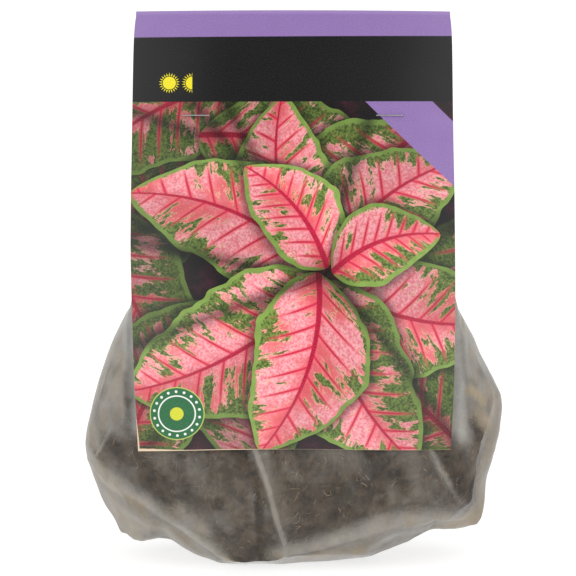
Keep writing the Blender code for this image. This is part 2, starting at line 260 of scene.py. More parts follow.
def ripples(points, seed, size, count=28):
    """A smooth seeded field over the points, about -1 to 1, with features of the given size."""
    rng = np.random.default_rng(seed)
    total = np.zeros(len(points))
    for _ in range(count):
        direction = rng.normal(size=3)
        direction *= 2 * math.pi / (size * rng.uniform(0.7, 1.6) * np.linalg.norm(direction))
        total += np.sin(points @ direction + rng.uniform(0, 2 * math.pi))
    return total / math.sqrt(count)


def facets(points, seed, size, count=9):
    """Sharp-edged seeded folds, as crumpled film has, about -1 to 1."""
    rng = np.random.default_rng(seed)
    total = np.zeros(len(points))
    for k in range(count):
        direction = rng.normal(size=3)
        direction /= size * rng.uniform(0.8, 2.2) * np.linalg.norm(direction)
        phase = points @ direction + rng.uniform() + 0.35 * ripples(points, seed + 50 + k, size * 3, 6)
        total += np.abs((phase % 1) * 2 - 1) * 2 - 1
    return total / math.sqrt(count)


# Film skin

FRONT_STEPS = 124
BACK_STEPS = 46
NOSE_STEPS = 6
GUSSET_STEPS = 24
FOLD_NOSE = 1.8
GUSSET_SLIT = 0.15
EAR_TIP = 0.5
SIDE_TIP = 3.0
LINE_STEPS = 40
LEVELS = np.concatenate((np.linspace(0, 24, 34), np.linspace(24.7, 60, 50), np.linspace(61.2, 126, 54),
                         np.linspace(128, 240, 30)))
BASE_RINGS = (0.12, 0.35, 0.6, 0.82)
UNDER_CARD_SIDE = (76, 72)
UNDER_CARD_LOW = (53, 60)
CREASE_SEED = 7
CREASES = 110
CREASED = (1, 122)
CREASE_LENGTHS = (5, 17)
CREASE_HEIGHTS = (0.12, 0.4)
CREASE_WIDTHS = (0.7, 1.5)
CREASE_BENDS = (-0.02, 0.02)

# How milky the film looks: the gap to the filling that counts as touching, the least gap, the veil where it
# touches, what a wide gap adds, the gap over which it grows, how far clinging, with the painted shade that
# goes with it, narrows the gap and clears the veil, the veil over a chip and how much of it shows, and the
# veil of the bottom
TOUCHING = 0.3
LEAST_GAP = 0.4
CLEAR_VEIL = 0.105
ADDED_VEIL = 0.82
VEIL_GAP = 2.2
CLING_NARROWS = 0.7
CLING_CLEARS = 0.5
CHIP_VEIL = 0.9
CHIP_SHARE = 0.85
BASE_VEIL = 0.3


def keep_out(gusset_table, level):
    return curve_through(KEEP_OUT_RIGHT if gusset_table is GUSSET_RIGHT else KEEP_OUT_LEFT, level)


def quarter_points(level, gusset_table, panel_steps, filling=False):
    """One quarter of a level section: points (x, y) from the front middle to the gusset's middle."""
    half_width, fold, crown, roundness = (float(section_value(k, level)) for k in (1, 2, 3, 4))
    gusset = float(curve_through(gusset_table, level))
    if filling:
        gusset = max(gusset - float(keep_out(gusset_table, level)), half_width * 1.03)
    tip = GUSSET_SLIT
    if gusset < half_width:
        roundness = 0.0
    elif filling:
        tip = SIDE_TIP
    else:
        tip = EAR_TIP + (SIDE_TIP - EAR_TIP) * float(ease(level, 16, 45))
        tip = min(tip, (gusset - half_width) * 0.5 + GUSSET_SLIT)
    corner = np.array((half_width, -fold))
    end = np.array((gusset, -tip))
    round_guide = np.array((gusset, -fold / 2))
    along = np.array((1, 2 * crown / half_width))
    along /= np.linalg.norm(along)
    guide = (corner + end) / 2 * (1 - roundness) + round_guide * roundness
    leaving = (guide - corner) / np.linalg.norm(guide - corner)
    turn = math.atan2(along[0] * leaving[1] - along[1] * leaving[0], float(along @ leaving))
    nose = min(FOLD_NOSE, (fold - tip) / 2)
    outward = np.array((along[1], -along[0]))
    reach = min(math.tan(max(turn, 0) / 2), 1.0)
    centre = corner - outward * nose - along * nose * reach
    angles = math.atan2(outward[1], outward[0]) + turn * np.linspace(0, 1, NOSE_STEPS + 1)
    nose_points = centre + nose * np.stack((np.cos(angles), np.sin(angles)), 1)
    x = nose_points[0, 0] * np.arange(panel_steps) / panel_steps
    panel = np.stack((x, -fold - crown * (1 - (x / half_width) ** 2)), 1)
    start = nose_points[-1]
    guide = (start + end) / 2 * (1 - roundness) + round_guide * roundness
    share = (np.arange(1, GUSSET_STEPS + 1) / GUSSET_STEPS)[:, None]
    gusset_points = start * (1 - share) ** 2 + guide * 2 * share * (1 - share) + end * share ** 2
    return np.concatenate((panel, nose_points, gusset_points))


def bag_grid(levels, front_steps, back_steps, filling=False):
    """Points of the bag's skin as an array of rings, each counter-clockwise from the front middle."""
    rings = []
    for level in levels:
        sides = []
        for table in (GUSSET_RIGHT, GUSSET_LEFT):
            front = quarter_points(level, table, front_steps, filling)
            back = quarter_points(level, table, back_steps, filling)
            sides.append(np.concatenate((front, back[::-1] * (1, -1))))
        ring = np.concatenate((sides[0], (sides[1] * (-1, 1))[1:-1][::-1]))
        rings.append(np.concatenate((ring + (0, middle(level)), np.full((len(ring), 1), level)), 1))
    return np.array(rings)


def grid_normals(grid):
    """Outward unit normals of a closed grid of rings."""
    around = np.roll(grid, -1, 1) - np.roll(grid, 1, 1)
    normals = np.cross(around, np.gradient(grid, axis=0))
    return normals / np.maximum(np.linalg.norm(normals, axis=2, keepdims=True), 1e-9)


def on_skin(line, step=2.0):
    """Points on the bag's front skin along a line of (x, height) points."""
    line = np.array(line, float)
    lengths = np.linalg.norm(np.diff(line, axis=0), axis=1)
    places = np.concatenate(([0], np.cumsum(lengths)))
    count = max(2, int(places[-1] / step))
    along = np.linspace(0, places[-1], count)
    xs, zs = np.interp(along, places, line[:, 0]), np.interp(along, places, line[:, 1])
    points = []
    for x, z in zip(xs, np.maximum(zs, 0)):
        quarter = quarter_points(z, GUSSET_RIGHT if x > 0 else GUSSET_LEFT, LINE_STEPS)
        points.append((x, np.interp(abs(x), quarter[:, 0], quarter[:, 1]) + middle(z), z))
    return np.array(points)


def line_field(points, normals, line):
    """Distance of each point from a line on the skin, its side (1 is left of the line's run seen from
    outside) and the share of the line's length that it lies at."""
    best = np.full(len(points), 1e9)
    side = np.ones(len(points))
    share = np.zeros(len(points))
    for k in range(len(line) - 1):
        start, run = line[k], line[k + 1] - line[k]
        t = np.clip((points - start) @ run / (run @ run), 0, 1)
        off = points - start - t[:, None] * run
        distance = np.linalg.norm(off, axis=1)
        closer = distance < best
        best[closer] = distance[closer]
        left = np.cross(normals[closer], run)
        side[closer] = np.sign((off[closer] * left).sum(1))
        share[closer] = (k + t[closer]) / (len(line) - 1)
    return best, side, share


def covered(points):
    """1 where the card lies over the film, front and back, and 0 in the open."""
    return ease(np.abs(points[:, 0]), *UNDER_CARD_SIDE) * ease(points[:, 2], *UNDER_CARD_LOW)


def fold_relief(distance, side, share, height, width, drop, drop_width):
    """A rounded ridge along a line, with the skin set back on its lower side."""
    fade = ease(share, 0, 0.12) * ease(share, 1, 0.9)
    set_back = drop * (1 - hill(distance, width * 1.2)) * hill(distance, drop_width)
    return (height * hill(distance, width) - set_back * (side < 0)) * fade


def small_creases(points, normals):
    """Short seeded creases on the open film."""
    rng = np.random.default_rng(CREASE_SEED)
    relief = np.zeros(len(points))
    z = points[:, 2]
    open_places = np.where((covered(points) < 0.3) & (z > CREASED[0]) & (z < CREASED[1]))[0]
    upright = np.array((0, 0, 1))
    for _ in range(CREASES):
        k = rng.choice(open_places)
        angle = rng.normal(0, 0.7)
        direction = np.cross(normals[k], upright) * math.cos(angle) + upright * math.sin(angle)
        length = rng.uniform(*CREASE_LENGTHS)
        height = rng.uniform(*CREASE_HEIGHTS)
        width = rng.uniform(*CREASE_WIDTHS)
        bend = rng.uniform(*CREASE_BENDS)
        off = points - points[k]
        near = np.where((off ** 2).sum(1) < (2 * length) ** 2)[0]
        off = off[near]
        distance = off @ direction
        along = np.sqrt(np.maximum((off ** 2).sum(1) - distance ** 2, 0))
        distance = distance + bend * along ** 2
        relief[near] += height * hill(np.abs(distance), width, 1.3) * hill(along, length)
    return relief


# Folds: line, ridge height and width, how far the skin below is set back, and over what width
FOLDS = (
    (LOWER_FOLD_LEFT, 0.7, 2.2, 0.4, 11),
    (LOWER_FOLD_RIGHT, 0.7, 2.2, 0.4, 11),
    (PLEAT, 1.1, 0.95, 0.2, 5),
    (SIDE_FOLD_LOW, 0.7, 1.5, 0.4, 6),
    (SIDE_FOLD_RIGHT, 0.6, 1.3, 0.4, 6),
    (SIDE_FOLD_LEFT, 0.5, 1.4, 0.4, 6),
    (LEFT_TICK, 0.6, 0.8, 0.0, 4),
    (SHORT_TICK, 0.5, 0.6, 0.0, 4),
    (PATCH_TICK, 0.4, 0.6, 0.0, 4),
)
BACK_FOLDS = (LOWER_FOLD_LEFT, LOWER_FOLD_RIGHT, SIDE_FOLD_LOW)


def broad_relief(points):
    """The film's soft swells, which the filling follows."""
    z = points[:, 2]
    bare = 1 - covered(points)
    relief = 0.32 * ripples(points, 3, 28) + 0.06 * ripples(points, 4, 10) + 0.13 * facets(points, 5, 19)
    relief += 0.12 * ease(z, 30, 8) * facets(points, 6, 12)
    relief *= 1 - ease(z, 2.5, 0)
    under_card = -0.35 - 0.2 * np.abs(ripples(points, 8, 22)) + 0.25 * ripples(points, 9, 9)
    under_card -= 0.9 * ease(np.abs(points[:, 0]), 52, 70) * ease(z, 112, 80)
    under_card = np.minimum(under_card, -0.05) * ease(z, 235, 190)
    under_card -= 0.8 * ease(np.abs(points[:, 0]), 50, 68) * ease(z, 160, 190)
    return relief * bare + under_card * (1 - bare)


def on_both_faces(points, normals, line):
    """For the front and then the back: the points there, whether it is the front, and the points' distances
    from a line of (x, height) points, their sides of it and their shares of its length."""
    is_front = points[:, 1] < middle(points[:, 2])
    skin_line = on_skin(line)
    for front, turn in ((True, (1, 1, 1)), (False, (-1, -1, 1))):
        k = np.where(is_front == front)[0]
        yield k, front, line_field(points[k], normals[k], skin_line * turn)


def sharp_relief(points, normals):
    """The film's folds and creases."""
    relief = 0.7 * small_creases(points, normals) * (1 - 0.6 * ease(points[:, 2], 45, 28))
    for line, *form in FOLDS:
        for k, front, field in on_both_faces(points, normals, line):
            if front or line in BACK_FOLDS:
                relief[k] += fold_relief(*field, *form)
    return relief * (1 - covered(points)) * (1 - ease(points[:, 2], 2.5, 0))


def past_filling(x, z):
    """How far a place on either side is beyond the filling's own edge. Less than 0 is inside it."""
    past = [np.abs(x) - curve_through(table, z) + keep_out(table, z) for table in (GUSSET_RIGHT, GUSSET_LEFT)]
    return np.where(x > 0, *past)


def gap_to_filling(points, normals):
    """How far the filling lies behind the plain skin."""
    x, z = points[:, 0], points[:, 2]
    gap = 0.36 + 0.45 * np.maximum(ripples(points, 21, 17), 0) + 0.3 * np.maximum(ripples(points, 22, 6), 0)
    gap += ease(np.abs(x), 68, 76) * ease(z, 52, 72) * (3.2 + 1.2 * ripples(points, 23, 13))
    gap += ease(z, 84, 112) * 3
    gap += 0.8 * np.maximum(past_filling(x, z), 0)
    for line, reach, depth in LOOSE:
        for k, front, (distance, _, _) in on_both_faces(points, normals, line):
            if front or line is not PLEAT:
                soft = hill(distance, reach) * (0.9 + 0.16 * ripples(points[k], 24, 8))
                gap[k] = np.maximum(gap[k], LEAST_GAP + depth * soft)
    return np.maximum(gap, LEAST_GAP)


def smudges(points, normals, strokes, power=2):
    """Soft strokes on the skin, front and back, by reach and strength. More power gives sharper edges."""
    total = np.zeros(len(points))
    for line, reach, strength in strokes:
        for k, _, (distance, _, _) in on_both_faces(points, normals, line):
            total[k] += strength * hill(distance, reach, power)
    return total


def header_curl(x, z):
    """How far the header's margins, card and film alike, curve back."""
    return curve_through(HEADER_CURL, z) * (np.minimum(np.abs(x), 76) / 72.75) ** 3


def bent(points):
    """Skin points with the header's curve, the drawn-in sides and the lower hem's rise put in."""
    x, y, z = points.T
    tuck = np.where(x > 0, curve_through(TUCK_RIGHT, z), curve_through(TUCK_LEFT, z))
    level = curve_through(HEM_LEVEL, x)
    lift = curve_through(HEM, x) * ease(z, level + 14, level) * ease(np.hypot(0.4 * x, y), 3, 14)
    drawn_in = np.sign(x) * tuck * (np.abs(x) / 95) ** 3
    return np.stack((x - drawn_in, y + header_curl(x, z), np.maximum(z + lift, 0)), 1)


def new_item(name, data):
    item = bpy.data.objects.new(name, data)
    bpy.context.scene.collection.objects.link(item)
    return item


def new_mesh(name, points, faces):
    """A smooth mesh object from millimetre points."""
    mesh = bpy.data.meshes.new(name)
    mesh.from_pydata((np.asarray(points) * MM).tolist(), [], [list(face) for face in faces])
    mesh.polygons.foreach_set("use_smooth", [True] * len(mesh.polygons))
    mesh.update()
    return new_item(name, mesh)


def ring_mesh(name, points, count, closed_above=False):
    """A mesh from rings of count points each, the lowest first, closed below."""
    first = np.arange(0, len(points) - count, count)[:, None]
    k = np.arange(count)[None, :]
    after = (k + 1) % count
    sides = np.stack((first + k, first + after, first + count + after, first + count + k), 2)
    faces = sides.reshape(-1, 4).tolist() + [list(range(count))[::-1]]
    if closed_above:
        faces.append(list(range(len(points) - count, len(points))))
    return new_mesh(name, points, faces)


def add_number(item, name, values):
    attribute = item.data.attributes.new(name, "FLOAT", "POINT")
    attribute.data.foreach_set("value", np.asarray(values, np.float32))


def add_place(item, name, values):
    attribute = item.data.attributes.new(name, "FLOAT_VECTOR", "POINT")
    attribute.data.foreach_set("vector", np.asarray(values, np.float32).ravel())


def film_veil(gap, cling_and_painted_shade, chips):
    """How milky the film looks over a gap to the filling, where it is clinging, which takes in painted shade,
    and where chips lie behind it.
    """
    gap = TOUCHING + (gap - TOUCHING) * (1 - CLING_NARROWS * cling_and_painted_shade)
    growth = 1 - np.exp(-(gap - TOUCHING) / VEIL_GAP)
    veil = (CLEAR_VEIL + ADDED_VEIL * growth) * (1 - CLING_CLEARS * cling_and_painted_shade)
    return veil + (CHIP_VEIL - veil) * CHIP_SHARE * chips


def make_film():
    grid = bag_grid(LEVELS, FRONT_STEPS, BACK_STEPS)
    count = grid.shape[1]
    points, outward = grid.reshape(-1, 3), grid_normals(grid).reshape(-1, 3)
    sharp = sharp_relief(points, outward)
    relief = broad_relief(points) + sharp
    gap = gap_to_filling(points, outward) + np.maximum(sharp, -0.1)
    x, z = points[:, 0], points[:, 2]
    gap += 0.5 * np.maximum(past_filling(x, z) + 4, 0) * ease(z, 66, 52)
    # Warm tint of chips behind the film; below 0 cooler and lighter, partly painted light beside the card's
    # edges
    warm_and_painted_light = np.clip(0.3 * np.maximum(ripples(points, 31, 12), 0) + smudges(points, outward, WARM_AND_PAINTED_LIGHT), -1, 1)
    chips = np.clip(smudges(points, outward, CHIPS, 4), 0, 1)
    # Clinging clears the film; under the card's lower edge and along dark creases this is painted shade
    veil = film_veil(gap, np.clip(smudges(points, outward, CLING_AND_PAINTED_SHADE), 0, 1), chips)
    shade = smudges(points, outward, SHADE)
    moved = bent(points + outward * relief[:, None])
    first = moved[:count]
    centre = first.mean(0)
    base = np.concatenate([centre + (first - centre) * share for share in BASE_RINGS])
    item = ring_mesh("film_bag", np.concatenate((base, moved)), count)
    looks = {"veil": (BASE_VEIL, veil), "warm_and_painted_light": (0, warm_and_painted_light), "chips": (0, chips), "shade": (0, shade)}
    for name, (at_base, values) in looks.items():
        add_number(item, name, np.concatenate((np.full(len(base), at_base, float), values)))
    return item


# Filling

PEAT_TOP = 114.0
PEAT_STEPS = (56, 46)
# How close to the film the filling lies, and how far from it at most
PEAT_GAP = (0.65, 2.6)
PEAT_LEVELS = np.concatenate((np.linspace(0.9, 24, 22), np.linspace(25.2, PEAT_TOP, 74)))
PEAT_BASE_RINGS = (0.3, 0.7)
PEAT_SHARES = (0.97, 0.93, 0.86, 0.78, 0.69, 0.6, 0.5, 0.4, 0.3, 0.2, 0.1, 0.04)
# The tubers' middles and half sizes along x, y and height
TUBERS = ((-34, -3, 116, 24, 20, 15), (33, 1, 115, 22, 21, 14))
TUBER_GAP = 0.6


def peat_height(x, y):
    """The mound's top, hollowed under each tuber."""
    points = np.stack((x, y, np.zeros(len(x))), 1)
    height = PEAT_TOP + 2.2 + 1.2 * ripples(points, 41, 30) + 0.5 * ripples(points, 42, 7)
    for tx, ty, tz, rx, ry, rz in TUBERS:
        spread = 1 - ((x - tx) / (rx + TUBER_GAP)) ** 2 - ((y - ty) / (ry + TUBER_GAP)) ** 2
        under = tz - (rz + TUBER_GAP) * np.sqrt(np.maximum(spread, 0))
        height = np.where(spread > 0, np.minimum(height, under), height)
    return height


def peat_wall():
    """The filling's side surface as a grid of rings."""
    grid = bag_grid(PEAT_LEVELS, *PEAT_STEPS, filling=True)
    points, outward = grid.reshape(-1, 3), grid_normals(grid).reshape(-1, 3)
    gap = np.clip(gap_to_filling(points, outward), *PEAT_GAP)
    crumbs = 0.36 * ripples(points, 43, 4.8) + 0.1 * ripples(points, 44, 3.4)
    inward = gap - np.clip(crumbs, -0.5, 0.15) - broad_relief(points)
    wall = bent(points - outward * inward[:, None])
    wall[:, 2] = np.maximum(wall[:, 2], 0.5)
    # Darker filling where the film clings; under the card's lower edge and along dark creases it is painted
    # shade
    darker_and_painted_shade = np.clip(smudges(points, outward, CLING_AND_PAINTED_SHADE), 0, 1)
    return wall.reshape(grid.shape), darker_and_painted_shade.reshape(grid.shape[:2])


def make_peat(wall, darker_and_painted_shade):
    rim = wall[-1]
    centre = rim.mean(0)
    low = wall[0].mean(0)
    rings = [low + (wall[0] - low) * share for share in PEAT_BASE_RINGS] + list(wall)
    for share in PEAT_SHARES:
        ring = centre + (rim - centre) * share
        edge = ease(share, 1.0, 0.8)
        ring[:, 2] = rim[:, 2] * (1 - edge) + peat_height(ring[:, 0], ring[:, 1]) * edge
        rings.append(ring)
    rings = np.array(rings)
    count = rings.shape[1]
    item = ring_mesh("peat_body", rings.reshape(-1, 3), count, closed_above=True)
    below, above = len(PEAT_BASE_RINGS) * count, len(PEAT_SHARES) * count
    darker_and_painted_shade = np.concatenate((np.zeros(below), darker_and_painted_shade.ravel(), np.zeros(above)))
    add_number(item, "darker_and_painted_shade", darker_and_painted_shade)
    return item


def sweep_tubes(paths, radii, sides):
    """Points and faces of thin closed tubes along paths, each with its own radius at each joint."""
    points, faces = [], []
    for path, radius in zip(paths, radii):
        start = len(points)
        run = np.gradient(path, axis=0)
        run /= np.maximum(np.linalg.norm(run, axis=1, keepdims=True), 1e-9)
        across = np.cross(run, (0.31, 0.22, 0.93))
        across /= np.maximum(np.linalg.norm(across, axis=1, keepdims=True), 1e-9)
        other = np.cross(run, across)
        for k in range(len(path)):
            for n in range(sides):
                angle = 2 * math.pi * n / sides
                off = math.cos(angle) * across[k] + math.sin(angle) * other[k]
                points.append(path[k] + radius[k] * off)
        for k in range(len(path) - 1):
            for n in range(sides):
                a, b = start + k * sides + n, start + k * sides + (n + 1) % sides
                faces.append((a, b, b + sides, a + sides))
        faces.append(tuple(start + n for n in range(sides))[::-1])
        end = start + (len(path) - 1) * sides
        faces.append(tuple(end + n for n in range(sides)))
    return np.array(points), faces


FIBRE_SEED = 51
FIBRE_TRIES = 9000
FIBRE_JOINTS = 5
FIBRE_SIDES = 3
FIBRE_RADII = (0.1, 0.21)
# How many grid places on each side of a fibre's own carry it
FIBRE_PATCH = 9


def laid_on_wall(path, wall, normals, k, n):
    """A short path moved onto the filling's surface, near its grid place k, n."""
    rings, count = wall.shape[:2]
    rows = np.clip(np.arange(k - FIBRE_PATCH, k + FIBRE_PATCH + 1), 1, rings - 2)
    columns = np.arange(n - FIBRE_PATCH, n + FIBRE_PATCH + 1) % count
    patch = wall[np.ix_(rows, columns)].reshape(-1, 3)
    patch_normals = normals[np.ix_(rows, columns)].reshape(-1, 3)
    laid = []
    for point in path:
        weight = np.exp(-((patch - point) ** 2).sum(1) / 2.5)
        weight /= weight.sum() + 1e-12
        outward = weight @ patch_normals
        outward /= np.linalg.norm(outward) + 1e-9
        laid.append(point - ((point - weight @ patch) @ outward) * outward)
    return np.array(laid)


def make_fibres(wall):
    """Loose strands lying on the filling's surface."""
    rng = np.random.default_rng(FIBRE_SEED)
    normals = grid_normals(wall)
    rings, count = wall.shape[:2]
    upright = np.array((0, 0, 1))
    share = np.linspace(-0.5, 0.5, FIBRE_JOINTS)
    density = np.clip(0.22 + 0.5 * ripples(wall.reshape(-1, 3), 52, 15), 0.04, 1).reshape(rings, count)
    paths, radii, tones = [], [], []
    for _ in range(FIBRE_TRIES):
        k, n = int(rng.uniform(3, rings - 4)), int(rng.uniform(0, count))
        if rng.uniform() > density[k, n]:
            continue
        length = rng.gamma(3.0, 1.05) + 1.3
        across = np.cross(normals[k, n], upright)
        angle = rng.uniform(0, math.pi) if rng.uniform() < 0.5 else rng.normal(math.pi / 2, 0.45)
        direction = across * math.cos(angle) + upright * math.sin(angle)
        side = np.cross(normals[k, n], direction)
        bend = rng.normal(0, 0.16) * length
        path = wall[k, n] + np.outer(share * length, direction) + np.outer(bend * (1 - 4 * share ** 2), side)
        paths.append(laid_on_wall(path, wall, normals, k, n))
        radii.append(rng.uniform(*FIBRE_RADII) * (1 - 0.6 * (2 * share) ** 2))
        tones.append(rng.beta(1.2, 2.2))
    points, faces = sweep_tubes(paths, radii, FIBRE_SIDES)
    item = new_mesh("peat_fibres", points, faces)
    add_number(item, "tone", np.repeat(tones, FIBRE_JOINTS * FIBRE_SIDES))
    return item


# Card

CARD_HALF_WIDTH = 72.75
CARD_BOTTOM = 57.2
CARD_FOLD_HEIGHT = 250.0
CARD_THICKNESS = 0.5
CARD_CLEARANCE = 0.35
# The sheet's columns, the rows of a panel and of the fold, and the heights that give a panel its curve
CARD_COLUMNS = 90
CARD_ROWS = 132
CARD_FOLD_ROWS = 9
CARD_HEIGHTS = 240
CARD_LOWEST = 46.0
CARD_SHARP_ANGLE = math.radians(50)
# How far the card's left edge is cut in from square, by height
CARD_TRIM = ((46, 1.3), (57, 1.15), (80, 0.95), (103, 0.5), (126, 0.1), (150, -0.4), (190, -0.45),
             (225, -0.3), (250, 0))
# How far the card's sides bend back towards the bag, by height
CARD_BOW = ((46, 15), (57, 13.8), (68, 12.4), (80, 10.8), (91, 9.4), (103, 8), (126, 5.5), (160, 2.6),
            (180, 0.6), (196, 0), (260, 0))
# How much narrower the sheet is at its fold, and how far down that reaches
FOLD_NARROWER = 0.0115
FOLD_REACH = 5.5
# How far the sheet stands off, how much it waves, how far a staple presses it in and the reach of that,
# across and up
CARD_STAND_OFF = 0.3
CARD_WAVE = 0.22
STAPLE_PRESS = 0.22
STAPLE_REACH = (9, 5)
STAPLES = (-44.2, 43.8)
STAPLE_HEIGHT = 204.6


def card_panel(x, lift, side):
    """One column of a card panel, from the fold down: x from -1 to 1, side -1 for the front or 1 for the
    back. All columns have the same length, so the corners of a bent panel hang lower than its middle."""
    heights = np.linspace(CARD_FOLD_HEIGHT, CARD_LOWEST, CARD_HEIGHTS)
    bow = curve_through(CARD_BOW, heights)
    depth = section_value(2, heights) + section_value(3, heights) + CARD_CLEARANCE + lift
    lengths = []
    for place in (0.0, x):
        curl = header_curl(place * CARD_HALF_WIDTH, heights)
        y = middle(heights) + side * (depth - bow * place ** 2) + curl
        steps = np.hypot(np.diff(y), np.diff(heights))
        lengths.append(np.concatenate(([0], np.cumsum(steps))))
    whole = np.interp(CARD_FOLD_HEIGHT - CARD_BOTTOM, CARD_FOLD_HEIGHT - heights, lengths[0])
    run = np.linspace(0, whole, CARD_ROWS)
    # A bowed panel is narrower than a flat one, and the sheet is drawn in a little at its fold
    narrower = 1 - 8 / 3 * (bow / (2 * CARD_HALF_WIDTH)) ** 2
    narrower = narrower - FOLD_NARROWER * np.exp((heights - CARD_FOLD_HEIGHT) / FOLD_REACH)
    trim = curve_through(CARD_TRIM, heights) * max(-x, 0) ** 6
    column = np.stack((x * CARD_HALF_WIDTH * narrower + trim, y, heights), 1)
    return np.stack([np.interp(run, lengths[1], column[:, k]) for k in range(3)], 1)


def card_surface(lift):
    """The card's surface at a lift from its inner face, as rows by columns from the front's lower edge over
    the fold to the back's, and each row's side, -1 on the front and 1 on the back."""
    columns = []
    angles = np.linspace(0, math.pi, CARD_FOLD_ROWS + 2)[1:-1]
    for x in np.linspace(-1, 1, CARD_COLUMNS + 1):
        front, back = card_panel(x, lift, -1), card_panel(x, lift, 1)
        centre, half = (front[0] + back[0]) / 2, (back[0, 1] - front[0, 1]) / 2
        fold = centre + half * np.stack((np.zeros(CARD_FOLD_ROWS), -np.cos(angles), np.sin(angles)), 1)
        columns.append(np.concatenate((front[::-1], fold, back)))
    surface = np.stack(columns, 1)
    side = np.concatenate((-np.ones(CARD_ROWS), -np.cos(angles), np.ones(CARD_ROWS)))
    flat = surface.reshape(-1, 3)
    across = np.tile(np.linspace(-1, 1, CARD_COLUMNS + 1), len(side))
    near = np.zeros(len(flat))
    reach_x, reach_z = STAPLE_REACH
    for x_staple in STAPLES:
        off_x, off_z = flat[:, 0] - x_staple, flat[:, 2] - STAPLE_HEIGHT
        near += np.exp(-(off_x / reach_x) ** 2 - (off_z / reach_z) ** 2)
    wave = CARD_WAVE * ripples(flat * (1, 0, 1), 61, 55, 14) * ease(flat[:, 2], 250, 230) * (1 - near)
    flat[:, 1] += np.repeat(side, CARD_COLUMNS + 1) * (CARD_STAND_OFF + wave - STAPLE_PRESS * near)
    hang = 1.6 - 0.35 * across
    flat[:, 2] -= across ** 2 * (0.45 * ease(flat[:, 2], 235, 252) + hang * ease(flat[:, 2], 115, 57))
    return flat.reshape(surface.shape), side


def make_card():
    inner, _ = card_surface(0.0)
    outer, side = card_surface(CARD_THICKNESS)
    rows, columns = outer.shape[:2]
    run = np.concatenate(([0], np.cumsum(np.linalg.norm(np.diff(outer[:, columns // 2], axis=0), axis=1))))
    down = np.interp(0, side, run) - run
    rise = np.minimum(run, run[-1] - run)
    k = np.arange((rows - 1) * (columns - 1))
    first = (k // (columns - 1)) * columns + k % (columns - 1)
    outer_faces = np.stack((first, first + 1, first + columns + 1, first + columns), 1)
    shift = rows * columns
    inner_faces = outer_faces[:, ::-1] + shift
    loop = ([(0, c) for c in range(columns)] + [(r, columns - 1) for r in range(1, rows)]
            + [(rows - 1, c) for c in range(columns - 2, -1, -1)] + [(r, 0) for r in range(rows - 2, 0, -1)])
    loop = [r * columns + c for r, c in loop]
    rim_faces = [(b, a, a + shift, b + shift) for a, b in zip(loop, loop[1:] + loop[:1])]
    points = np.concatenate((outer.reshape(-1, 3), inner.reshape(-1, 3)))
    item = new_mesh("card_print", points, outer_faces.tolist() + inner_faces.tolist() + rim_faces)
    place = np.zeros((len(points), 3))
    place[:, 0] = np.tile(np.linspace(0, 2 * CARD_HALF_WIDTH, columns), 2 * rows)
    place[:, 1] = np.tile(np.repeat(down, columns), 2)
    place[:, 2] = np.tile(np.repeat(rise, columns), 2)
    add_place(item, "print_place", place)
    is_paper = np.ones(len(item.data.polygons), int)
    is_paper[:len(outer_faces)] = 0
    item.data.polygons.foreach_set("material_index", is_paper)
    item.data.set_sharp_from_angle(angle=CARD_SHARP_ANGLE)
    return item


WIRE_RADIUS = 0.29
WIRE_SIDES = 12
CROWN_HALF = 6.1
CROWN_CORNER = 0.9
# How far the crown and the bent ends stand off the sheet's middle
STAPLE_DEPTH = 3.05


def round_corners(corners, sizes, steps=6):
    """A path through corners, each rounded by a curve that starts and ends its size away from it."""
    corners = np.array(corners, float)
    path = [corners[0]]
    for k in range(1, len(corners) - 1):
        before, here, after = corners[k - 1], corners[k], corners[k + 1]
        size = min(sizes[k], np.linalg.norm(before - here) * 0.45, np.linalg.norm(after - here) * 0.45)
        start = here + (before - here) / np.linalg.norm(before - here) * size
        end = here + (after - here) / np.linalg.norm(after - here) * size
        for t in np.linspace(0, 1, steps):
            path.append(start * (1 - t) ** 2 + here * 2 * t * (1 - t) + end * t ** 2)
    path.append(corners[-1])
    return np.array(path)


def make_staple(name, x_middle):
    """A wire staple: crown on the card's front, legs through it and ends bent in behind."""
    half, out, corner = CROWN_HALF, STAPLE_DEPTH, CROWN_CORNER
    corners = ((-half + 2.6, out - 0.7), (-half + 1.2, out), (-half, out), (-half, -out), (half, -out),
               (half, out), (half - 1.2, out), (half - 2.6, out - 0.7))
    flat_path = round_corners(corners, (0, 0.5, corner, corner, corner, corner, 0.5, 0))
    y_middle = float(middle(STAPLE_HEIGHT))
    y_middle += float(header_curl(x_middle, STAPLE_HEIGHT))
    path = np.array([(x_middle + x, y_middle + y, STAPLE_HEIGHT) for x, y in flat_path])
    points, faces = sweep_tubes([path], [np.full(len(path), WIRE_RADIUS)], WIRE_SIDES)
    return new_mesh(name, points, faces)


# Materials

def linear(red, green, blue):
    """A colour from 0 to 255 screen values, in linear light."""
    values = [v / 255 for v in (red, green, blue)]
    return tuple(v / 12.92 if v <= 0.04045 else ((v + 0.055) / 1.055) ** 2.4 for v in values) + (1.0,)


